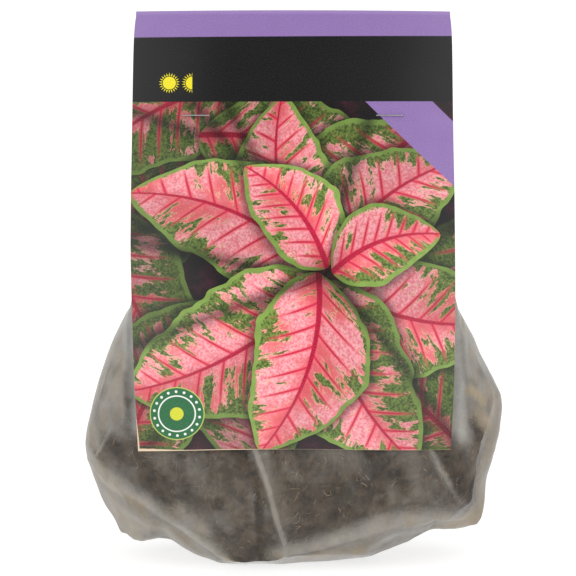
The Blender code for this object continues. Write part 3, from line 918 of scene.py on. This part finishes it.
class Graph:
    """Adds nodes to a tree. A value may be a number, a colour or another node's output."""

    def __init__(self, tree):
        self.tree = tree

    def feed(self, socket, value):
        if isinstance(value, bpy.types.NodeSocket):
            self.tree.links.new(value, socket)
        else:
            socket.default_value = value

    def add(self, kind, values=(), sockets=None, output=0, **settings):
        """An output of a new node whose sockets are fed with values: the first ones if none are named."""
        node = self.tree.nodes.new("ShaderNode" + kind)
        for name, value in settings.items():
            setattr(node, name, value)
        for socket, value in zip(sockets or range(len(values)), values):
            self.feed(node.inputs[socket], value)
        return node.outputs[output]

    def math(self, operation, *values, clamp=False):
        return self.add("Math", values, operation=operation, use_clamp=clamp)

    def plus(self, first, second, clamp=False):
        return self.math("ADD", first, second, clamp=clamp)

    def minus(self, first, second):
        return self.math("SUBTRACT", first, second)

    def times(self, first, second, clamp=False):
        return self.math("MULTIPLY", first, second, clamp=clamp)

    def times_plus(self, first, second, third):
        return self.math("MULTIPLY_ADD", first, second, third)

    def size(self, value):
        return self.math("ABSOLUTE", value)

    def larger(self, first, second):
        return self.math("MAXIMUM", first, second)

    def vector(self, operation, *values):
        return self.add("VectorMath", values, operation=operation)

    def band(self, value, low, high, to_low=0.0, to_high=1.0):
        """Smooth step of a value from low to high."""
        return self.add("MapRange", (value, low, high, to_low, to_high), interpolation_type="SMOOTHSTEP")

    def spread(self, noise, low=0.0, high=1.0):
        """A noise's middle range, stretched from low to high."""
        return self.band(noise, 0.3, 0.7, low, high)

    def mix(self, share, first, second):
        return self.add("Mix", (share, first, second), (0, 6, 7), 2, data_type="RGBA")

    def mix_vectors(self, share, first, second):
        return self.add("Mix", (share, first, second), (0, 4, 5), 1, data_type="VECTOR")

    def mix_numbers(self, share, first, second):
        return self.add("Mix", (share, first, second), (0, 2, 3), 0, data_type="FLOAT")

    def scaled(self, colour, amount):
        return self.add("VectorMath", (colour, amount), (0, "Scale"), operation="SCALE")

    def noise(self, place, scale, detail=3.0, rough=0.55, distortion=0.0):
        sockets = ("Vector", "Scale", "Detail", "Roughness", "Distortion")
        return self.add("TexNoise", (place, scale, detail, rough, distortion), sockets)

    def parts(self, vector):
        return self.add("SeparateXYZ", (vector,), output=slice(0, 3))

    def joined(self, x, y, z=0.0):
        return self.add("CombineXYZ", (x, y, z))

    def attribute(self, name, output="Fac"):
        return self.add("Attribute", output=output, attribute_name=name)

    def object_place(self):
        """Place on the object, in millimetres."""
        return self.scaled(self.add("TexCoord", output="Object"), 1000.0)

    def bump(self, height, strength, distance):
        return self.add("Bump", (height, strength, distance), ("Height", "Strength", "Distance"))


def new_material(name):
    made = bpy.data.materials.new(name)
    made.use_nodes = True
    return made, Graph(made.node_tree), made.node_tree.nodes["Principled BSDF"].inputs


def coat(g, sockets, **looks):
    """Feed a shader's sockets, each named in lower case with _ for a space."""
    for name, value in looks.items():
        g.feed(sockets[name.replace("_", " ").title()], value)


def film_material():
    made, g, sockets = new_material("film")
    place = g.object_place()
    veil, warm_and_painted_light = g.attribute("veil"), g.attribute("warm_and_painted_light")
    cloud = g.noise(place, 0.06, 3.0, 0.5)
    colour = g.mix(g.band(cloud, 0.35, 0.65), linear(158, 152, 142), linear(149, 144, 137))
    colour = g.mix(g.times(warm_and_painted_light, 0.7, clamp=True), colour, linear(154, 138, 114))
    # Cooler, lighter film below 0: painted light beside the card's edges and a painted highlight on a tick
    colour = g.mix(g.times(warm_and_painted_light, -0.8, clamp=True), colour, linear(168, 167, 163))
    colour = g.mix(g.attribute("chips"), colour, linear(158, 144, 121))
    streak = g.noise(g.vector("MULTIPLY", place, (0.35, 0.35, 0.08)), 1.0, 4.0, 0.6)
    light = g.minus(g.spread(streak, 0.95, 1.03), g.attribute("shade"))
    coat(g, sockets, base_color=g.scaled(colour, light))
    haze = g.noise(place, 0.5, 4.0, 0.6)
    coat(g, sockets, alpha=g.plus(veil, g.spread(haze, -0.05, 0.05), clamp=True),
         roughness=g.spread(haze, 0.3, 0.42))
    fine = g.noise(g.vector("MULTIPLY", place, (1.0, 1.0, 0.6)), 1.1, 4.0, 0.6)
    coat(g, sockets, normal=g.bump(fine, 0.22, 0.0004))
    sockets["Specular IOR Level"].default_value = 0.35
    return made


def peat_material():
    made, g, sockets = new_material("peat")
    place = g.object_place()
    clumps = g.noise(place, 0.16, 5.0, 0.6)
    crumbs = g.noise(g.vector("MULTIPLY", place, (1.0, 1.0, 0.45)), 1.1, 3.0, 0.6)
    dark = g.mix(g.band(crumbs, 0.3, 0.72), (0.017, 0.0115, 0.0075, 1), (0.041, 0.026, 0.015, 1))
    light = g.mix(g.spread(crumbs), (0.055, 0.037, 0.023, 1), (0.095, 0.064, 0.039, 1))
    colour = g.mix(g.band(clumps, 0.42, 0.62), dark, light)
    # Darker filling: painted shade under the card's lower edge and along dark creases, elsewhere where the
    # film clings
    darker_and_painted_shade = g.times_plus(g.attribute("darker_and_painted_shade"), -0.4, 1.0)
    coat(g, sockets, base_color=g.scaled(colour, darker_and_painted_shade), roughness=g.spread(crumbs, 0.8, 0.98),
         normal=g.bump(crumbs, 0.5, 0.001))
    return made


def fibre_material():
    made, g, sockets = new_material("fibre")
    grain = g.noise(g.object_place(), 0.8, 3.0, 0.6)
    colour = g.mix(g.attribute("tone"), (0.04, 0.026, 0.015, 1), (0.42, 0.31, 0.2, 1))
    coat(g, sockets, base_color=g.scaled(colour, g.spread(grain, 0.75, 1.15)),
         roughness=g.spread(grain, 0.7, 0.9))
    return made


def tuber_material():
    made, g, sockets = new_material("tuber_skin")
    place = g.object_place()
    rings = g.noise(g.vector("MULTIPLY", place, (0.12, 0.12, 0.6)), 1.0, 5.0, 0.6, 0.6)
    scars = g.noise(place, 0.4, 5.0, 0.7)
    colour = g.mix(g.band(rings, 0.35, 0.65), (0.11, 0.062, 0.03, 1), (0.27, 0.17, 0.09, 1))
    coat(g, sockets, base_color=g.mix(g.band(scars, 0.58, 0.68), colour, (0.06, 0.035, 0.02, 1)),
         roughness=g.spread(scars, 0.65, 0.9), normal=g.bump(g.plus(rings, scars), 0.8, 0.0012))
    return made


def wire_material():
    made, g, sockets = new_material("staple_wire")
    grain = g.noise(g.vector("MULTIPLY", g.object_place(), (0.3, 4.0, 4.0)), 1.0, 3.0, 0.5)
    coat(g, sockets, base_color=g.mix(grain, (0.3, 0.3, 0.3, 1), (0.46, 0.46, 0.47, 1)),
         roughness=g.spread(grain, 0.22, 0.36), metallic=1.0)
    return made


def paper_material():
    made, g, sockets = new_material("paper")
    fibres = g.noise(g.object_place(), 0.9, 4.0, 0.6)
    coat(g, sockets, base_color=g.mix(fibres, linear(226, 216, 196), linear(240, 234, 220)),
         roughness=g.spread(fibres, 0.6, 0.75))
    return made


def leaf_place(g, x, y, wavy, base_x, base_y, angle, length, width, bend):
    """Place along a leaf's rib, place off it, and distance inside the leaf's edge."""
    turn = math.radians(angle)
    run_x, run_y = math.cos(turn), math.sin(turn)
    along = g.times_plus(y, run_y, -base_x * run_x - base_y * run_y)
    along = g.times_plus(x, run_x, along)
    off = g.times_plus(y, run_x, base_x * run_y - base_y * run_x)
    off = g.times_plus(x, -run_y, off)
    s = g.times(along, 1 / length)
    room = g.times(g.times(s, 4.0), g.minus(1.0, s))
    room = g.larger(room, 0.0)
    off = g.times_plus(room, bend, off)
    half = g.times(g.math("POWER", room, LEAF_FULLNESS), g.times_plus(s, -0.45 * width, 1.2 * width))
    edge = g.minus(g.times(half, wavy), g.size(off))
    return along, off, edge


def leaf_colour(g, local, traits):
    """A leaf's colour from its own places: pink middle, side veins, ragged green patches and a green edge."""
    along, off, edge = g.parts(local)
    length, seed, green_share = g.parts(traits)
    off_rib = g.size(off)
    half_side = g.math("SIGN", off)
    s = g.math("DIVIDE", along, length)
    seeded = g.joined(seed, g.times(seed, 3.7), half_side)

    # Side veins sweep forward from the rib
    sweep = g.times_plus(off_rib, -0.75, along)
    sweep = g.times_plus(g.times(off_rib, off_rib), 0.006, sweep)
    spacing = g.times(length, 0.115)
    phase = g.times_plus(half_side, 0.2, g.math("DIVIDE", sweep, spacing))
    from_vein = g.size(g.minus(g.math("FRACT", phase), 0.5))
    from_vein = g.times(from_vein, spacing)
    reach = g.math("DIVIDE", off_rib, g.larger(g.plus(edge, off_rib), 1.0), clamp=True)
    vein = g.times(g.band(from_vein, 0.75, 0.2), g.band(reach, 0.95, 0.35))
    past_rib = g.minus(off_rib, g.times_plus(s, -1.1, 1.35))
    rib = g.band(past_rib, 0.4, -0.2)
    halo = g.band(past_rib, 5.0, 0.0)

    # Ragged patches stretched along the side veins
    own = g.vector("ADD", g.joined(along, off), g.scaled(seeded, 7.0))
    stretched = g.vector("ADD", g.joined(sweep, g.times(off_rib, 0.45)), g.scaled(seeded, 13.0))
    ragged = g.noise(stretched, 0.22, 6.0, 0.68, 0.35)
    broad = g.noise(own, 0.05, 3.0, 0.5)
    fleck = g.noise(own, 0.9, 3.0, 0.6)
    patch = g.times_plus(g.minus(broad, 0.5), 0.5, ragged)
    patch = g.times_plus(g.math("POWER", reach, 3.0), 0.14, patch)
    patch = g.times_plus(g.minus(green_share, 0.5), 0.3, patch)
    patch = g.times_plus(halo, -0.1, patch)
    is_green = g.band(patch, 0.525, 0.55)
    cream = g.times(g.band(patch, 0.49, 0.525), g.minus(1.0, is_green))
    pink = g.mix(g.band(fleck, 0.35, 0.65), linear(226, 118, 128), linear(244, 172, 178))
    pink = g.mix(g.band(broad, 0.4, 0.62), pink, linear(222, 100, 104))
    pink = g.mix(g.times(cream, 0.55), pink, linear(246, 206, 170))
    green = g.mix(g.band(fleck, 0.35, 0.65), linear(62, 82, 34), linear(118, 140, 64))
    colour = g.mix(is_green, pink, green)
    margin = g.times_plus(fleck, -3.2, edge)
    colour = g.mix(g.band(margin, 1.2, 0.2), colour, linear(122, 150, 70))
    beside_vein = g.times(g.band(from_vein, 1.8, 0.3), g.band(reach, 0.9, 0.2))
    colour = g.mix(beside_vein, colour, linear(224, 92, 104))
    colour = g.mix(vein, colour, linear(186, 34, 66))
    colour = g.mix(g.times(halo, 0.35), colour, linear(214, 60, 84))
    colour = g.mix(rib, colour, linear(178, 22, 58))

    # Light on the leaf: quilted between the veins, one half brighter, darker at the base
    lit = g.times_plus(g.math("COSINE", g.times(phase, 2 * math.pi)), -0.06, 0.98)
    lit = g.times(lit, g.band(off, -6.0, 6.0, 0.86, 1.08))
    return g.scaled(colour, g.times(lit, g.band(s, 0.0, 0.22, 0.6, 1.0)))


# Leaves of the card's picture from the farthest to the nearest: base x and y on the card (y down from the
# fold), angle, length, half width, bend, greenness, light
LEAVES = (
    (-14, 128, 318, 86, 27, 8, 0.7, 0.5),
    (-12, 96, 62, 92, 28, -8, 0.75, 0.55),
    (158, 96, 112, 90, 28, 8, 0.75, 0.5),
    (-10, 214, 306, 96, 28, 8, 0.75, 0.58),
    (156, 208, 215, 92, 27, -6, 0.75, 0.58),
    (62, 214, 262, 84, 26, 6, 0.7, 0.55),
    (48, 36, 150, 84, 27, -8, 0.7, 0.6),
    (30, 60, 20, 90, 26, 10, 0.7, 0.7),
    (128, 60, 160, 80, 24, 8, 0.7, 0.7),
    (86, 128, 258, 88, 27, 10, 0.45, 0.85),
    (86, 128, 205, 96, 28, -12, 0.35, 0.9),
    (86, 128, 318, 84, 27, 10, 0.6, 0.85),
    (86, 128, 12, 84, 28, -8, 0.45, 0.92),
    (86, 128, 152, 102, 30, 10, 0.5, 0.98),
    (86, 128, 62, 92, 29, -10, 0.6, 0.95),
    (84, 124, 108, 84, 27, 9, 0.35, 1.05),
    (88, 122, 232, 60, 20, -6, 0.4, 1.08),
    (90, 124, 340, 52, 18, 6, 0.5, 1.05),
)
PURPLE_BAND = 14.4
BLACK_BAND = 44.5
# How much the two bands narrow towards the sheet's right edge, for each millimetre
PURPLE_SLANT = 0.0052
BLACK_SLANT = 0.002
FLASH_START = 105.7
FLASH_WIDTH = 30.7
# The round seal's middle, across and up from the front's lower left corner, its radius and how much wider
# than high it is
SEAL = (19.8, 16.8, 12.9)
SEAL_SQUASH = 1.09
SEAL_DOTS = 18
SEAL_DOT_RING = 10.7
# The suns' middles, across and down from the fold's left end
SUNS = ((16.5, 35.75), (26.9, 35.75))
SUN_RAYS = 22
# The back's discs: middle across, and colour. All are as far down from the fold.
BACK_DISCS = ((36, (34, 110, 62)), (72.75, (240, 214, 60)), (109.5, (222, 120, 130)))
BACK_DISC_DOWN = 76
LEAF_FULLNESS = 0.72
WHITE_INK = (232, 236, 228)


def distance_from(g, x, y, centre_x, centre_y):
    across, down = g.minus(x, centre_x), g.minus(y, centre_y)
    return g.math("SQRT", g.plus(g.times(across, across), g.times(down, down)))


def seal_place(g, x, rise):
    """Distance from the seal's middle, and the turn round it, counted in dots."""
    across = g.minus(x, SEAL[0])
    up = g.times(g.minus(rise, SEAL[1]), SEAL_SQUASH)
    turn = g.times(g.math("ARCTAN2", up, across), SEAL_DOTS / (2 * math.pi))
    return distance_from(g, across, up, 0.0, 0.0), turn


def between(g, value, low, high, soft=0.1):
    return g.times(g.band(value, low - soft, low + soft), g.band(value, high + soft, high - soft))


def sun(g, x, y, centre_x, centre_y):
    """A disc with small pointed rays."""
    across, down = g.minus(x, centre_x), g.minus(y, centre_y)
    distance = distance_from(g, x, y, centre_x, centre_y)
    turn = g.times(g.math("ARCTAN2", down, across), SUN_RAYS / (2 * math.pi))
    from_ray = g.size(g.minus(g.math("FRACT", turn), 0.5))
    ray_width = g.band(distance, 3.0, 5.0, 0.34, 0.0)
    ray = g.times(g.band(g.minus(ray_width, from_ray), -0.03, 0.03),
                 between(g, distance, 3.35, 4.8))
    return g.larger(ray, g.band(distance, 3.05, 2.9))


def picture(g, place, x, y):
    """The front's picture: leaves over a dark ground."""
    mottle = g.noise(place, 0.12, 4.0, 0.6)
    ground = g.mix(g.band(mottle, 0.35, 0.65), linear(20, 14, 14), linear(66, 22, 40))
    wavy = g.spread(g.noise(place, 0.05, 2.0, 0.5), 0.93, 1.07)
    local = traits = g.joined(1.0, 1.0, 1.0)
    light, on_leaf = 1.0, 0.0
    for number, leaf in enumerate(LEAVES):
        along, off, edge = leaf_place(g, x, y, wavy, *leaf[:6])
        length, green_share, brightness = leaf[3], leaf[6], leaf[7]
        cover = g.math("GREATER_THAN", edge, 0.0)
        shadow = g.band(edge, -6.0, 0.5, 1.0, 0.3)
        local = g.mix_vectors(cover, local, g.joined(along, off, edge))
        traits = g.mix_vectors(cover, traits, (length, 1.3 * number + 2, green_share))
        light = g.mix_numbers(cover, g.times(shadow, light), brightness)
        on_leaf = g.larger(cover, on_leaf)
    return g.scaled(g.mix(on_leaf, ground, leaf_colour(g, local, traits)), light)


def back_panel(g, x, y, purple, paper):
    """The plain back: a frame line and three discs with rings."""
    outer = g.times(between(g, x, 7.1, 138.4), between(g, y, 52.1, 193.9))
    inner = g.times(between(g, x, 8.0, 137.5), between(g, y, 53.0, 193.0))
    colour = g.mix(g.minus(outer, inner), paper, purple)
    for centre, tint in BACK_DISCS:
        distance = distance_from(g, x, y, centre, BACK_DISC_DOWN)
        colour = g.mix(g.band(distance, 11.1, 10.9), colour, linear(*tint))
        colour = g.mix(between(g, distance, 9.1, 9.7), colour, paper)
    return colour


def print_material():
    made, g, sockets = new_material("card_print")
    place = g.attribute("print_place", "Vector")
    x, signed, rise = g.parts(place)
    y = g.size(signed)
    place = g.joined(x, signed)
    mottle = g.noise(place, 0.12, 4.0, 0.6)
    purple = g.mix(mottle, linear(131, 104, 160), linear(139, 112, 168))
    paper = g.mix(mottle, linear(232, 227, 212), linear(240, 236, 226))
    colour = picture(g, place, x, y)

    # Corner flash and seal
    slant = g.minus(g.minus(x, FLASH_START), g.minus(y, BLACK_BAND))
    colour = g.mix(between(g, slant, 0.0, FLASH_WIDTH, 0.15), colour, purple)
    off_seal, seal_turn = seal_place(g, x, rise)
    seal_green = g.mix(mottle, linear(24, 92, 52), linear(34, 110, 62))
    colour = g.mix(g.band(off_seal, SEAL[2] + 0.1, SEAL[2] - 0.1), colour, linear(176, 190, 92))
    colour = g.mix(g.band(off_seal, SEAL[2] - 0.4, SEAL[2] - 0.6), colour, seal_green)
    colour = g.mix(between(g, off_seal, 8.3, 8.95), colour, linear(*WHITE_INK))
    spacing = 2 * math.pi * SEAL_DOT_RING / SEAL_DOTS
    dot_along = g.times(g.minus(g.math("FRACT", seal_turn), 0.5), spacing)
    dot = g.joined(dot_along, g.minus(off_seal, SEAL_DOT_RING))
    from_dot = g.add("VectorMath", (dot,), output="Value", operation="LENGTH")
    colour = g.mix(g.band(from_dot, 0.75, 0.55), colour, linear(*WHITE_INK))
    colour = g.mix(g.band(off_seal, 3.3, 3.1), colour, linear(206, 208, 48))
    colour = g.mix(g.math("GREATER_THAN", signed, 0.0), back_panel(g, x, y, purple, paper), colour)

    # Bands round the fold, suns and the bare edge of the sheet
    black = g.mix(mottle, (0.003, 0.003, 0.0034, 1), (0.0045, 0.0045, 0.005, 1))
    from_fold = g.times_plus(x, BLACK_SLANT, y)
    colour = g.mix(g.band(from_fold, BLACK_BAND + 0.12, BLACK_BAND - 0.12), colour, black)
    half_sun = g.times(sun(g, x, y, *SUNS[1]), g.band(x, SUNS[1][0] + 0.1, SUNS[1][0] - 0.1))
    colour = g.mix(g.larger(sun(g, x, y, *SUNS[0]), half_sun), colour, linear(226, 212, 36))
    from_fold = g.times_plus(x, PURPLE_SLANT, y)
    colour = g.mix(g.band(from_fold, PURPLE_BAND + 0.12, PURPLE_BAND - 0.12), colour, purple)
    bare = linear(220, 196, 166)
    colour = g.mix(g.band(g.minus(x, g.band(rise, 20, 2, 0.0, 0.8)), 0.12, -0.12), colour, bare)
    low_edge = g.plus(g.band(x, 75, 40, 0.05, 0.3), g.band(x, 26, 0, 0.0, 0.9))
    colour = g.mix(g.band(g.minus(rise, low_edge), 0.1, -0.1), colour, bare)
    grain = g.noise(place, 1.4, 3.0, 0.6)
    coat(g, sockets, base_color=colour, roughness=g.spread(grain, 0.24, 0.29),
         normal=g.bump(grain, 0.04, 0.0002))
    sockets["Specular IOR Level"].default_value = 0.5
    return made


def floor_material():
    made, g, sockets = new_material("floor")
    grain = g.noise(g.object_place(), 0.01, 2.0, 0.5)
    coat(g, sockets, base_color=g.mix(grain, (0.29, 0.29, 0.288, 1), (0.31, 0.31, 0.308, 1)),
         emission_color=(1, 1, 1, 1), emission_strength=0.74, roughness=0.9)
    return made


# Studio. The floor's and the lamps' sizes and places are in metres.

FLOOR_SIZE = 40
LAMP_SIZE = (0.8, 1.2)
LAMP_WATTS = 1.0
LAMP_AIM = Vector((0, 0, 0.14))


def make_camera():
    camera = bpy.data.cameras.new("camera")
    item = new_item("camera", camera)
    away = Vector((0, -math.cos(VIEW_PITCH), math.sin(VIEW_PITCH))) * VIEW_DISTANCE
    item.location = (AIM + away) * MM
    item.rotation_euler = (math.pi / 2 - VIEW_PITCH, 0, 0)
    camera.sensor_width = SENSOR_MM
    camera.lens = SENSOR_MM * VIEW_DISTANCE / (IMAGE_WIDTH_PIXELS * PIXEL)
    camera.clip_start = 0.05
    bpy.context.scene.camera = item


def make_floor():
    bpy.ops.mesh.primitive_plane_add(size=FLOOR_SIZE)
    floor = bpy.context.object
    floor.name = "floor"
    floor.data.materials.append(floor_material())


def area_light(name, place):
    light = bpy.data.lights.new(name, "AREA")
    light.shape = "RECTANGLE"
    light.size, light.size_y = LAMP_SIZE
    light.energy = LAMP_WATTS
    item = new_item(name, light)
    item.location = place
    item.rotation_euler = (LAMP_AIM - Vector(place)).to_track_quat("-Z", "Y").to_euler()


def make_lights():
    """A white surround, bright at the sides, straight behind and above, and two soft lamps in front."""
    world = bpy.data.worlds.new("studio")
    bpy.context.scene.world = world
    world.use_nodes = True
    g = Graph(world.node_tree)
    direction = g.parts(g.add("TexCoord", output="Generated"))
    sides = g.band(g.size(direction[0]), 0.07, 0.3, 0.05, 1.25)
    sides = g.times(sides, g.band(direction[1], -0.15, 0.25, 1.0, 0.45))
    strength = g.larger(sides, g.band(direction[1], 0.82, 0.93, 0.0, 1.15))
    strength = g.plus(strength, g.band(direction[2], 0.5, 0.95, 0.0, 1.0))
    g.feed(world.node_tree.nodes["Background"].inputs["Strength"], strength)
    world.node_tree.nodes["Background"].inputs["Color"].default_value = (1, 1, 1, 1)
    area_light("left", (-0.75, -0.85, 0.45))
    area_light("right", (0.8, -0.8, 0.5))
    bpy.context.scene.view_settings.view_transform = "Standard"


def dress(item, slot, materials, *nodes):
    for made in materials:
        item.data.materials.append(made)
    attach(item, "root")
    if nodes:
        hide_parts(*nodes)


make_camera()
make_lights()
make_floor()
dress(make_film(), "film", [film_material()], "poly_bag")
peat_grid, peat_darker_and_painted_shade = peat_wall()
dress(make_peat(peat_grid, peat_darker_and_painted_shade), "peat", [peat_material()], "peat_fill")
dress(make_fibres(peat_grid), "peat", [fibre_material()])
dress(make_card(), "card", [print_material(), paper_material()], "header_card")
wire = wire_material()
dress(make_staple("staple_wire_left", STAPLES[0]), "staple_wire", [wire], "staple_left")
dress(make_staple("staple_wire_right", STAPLES[1]), "staple_wire", [wire], "staple_right")
tuber_skin = tuber_material()
for node_name in ("tuber_1", "tuber_2"):
    for material_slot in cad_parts[node_name].material_slots:
        material_slot.material = tuber_skin
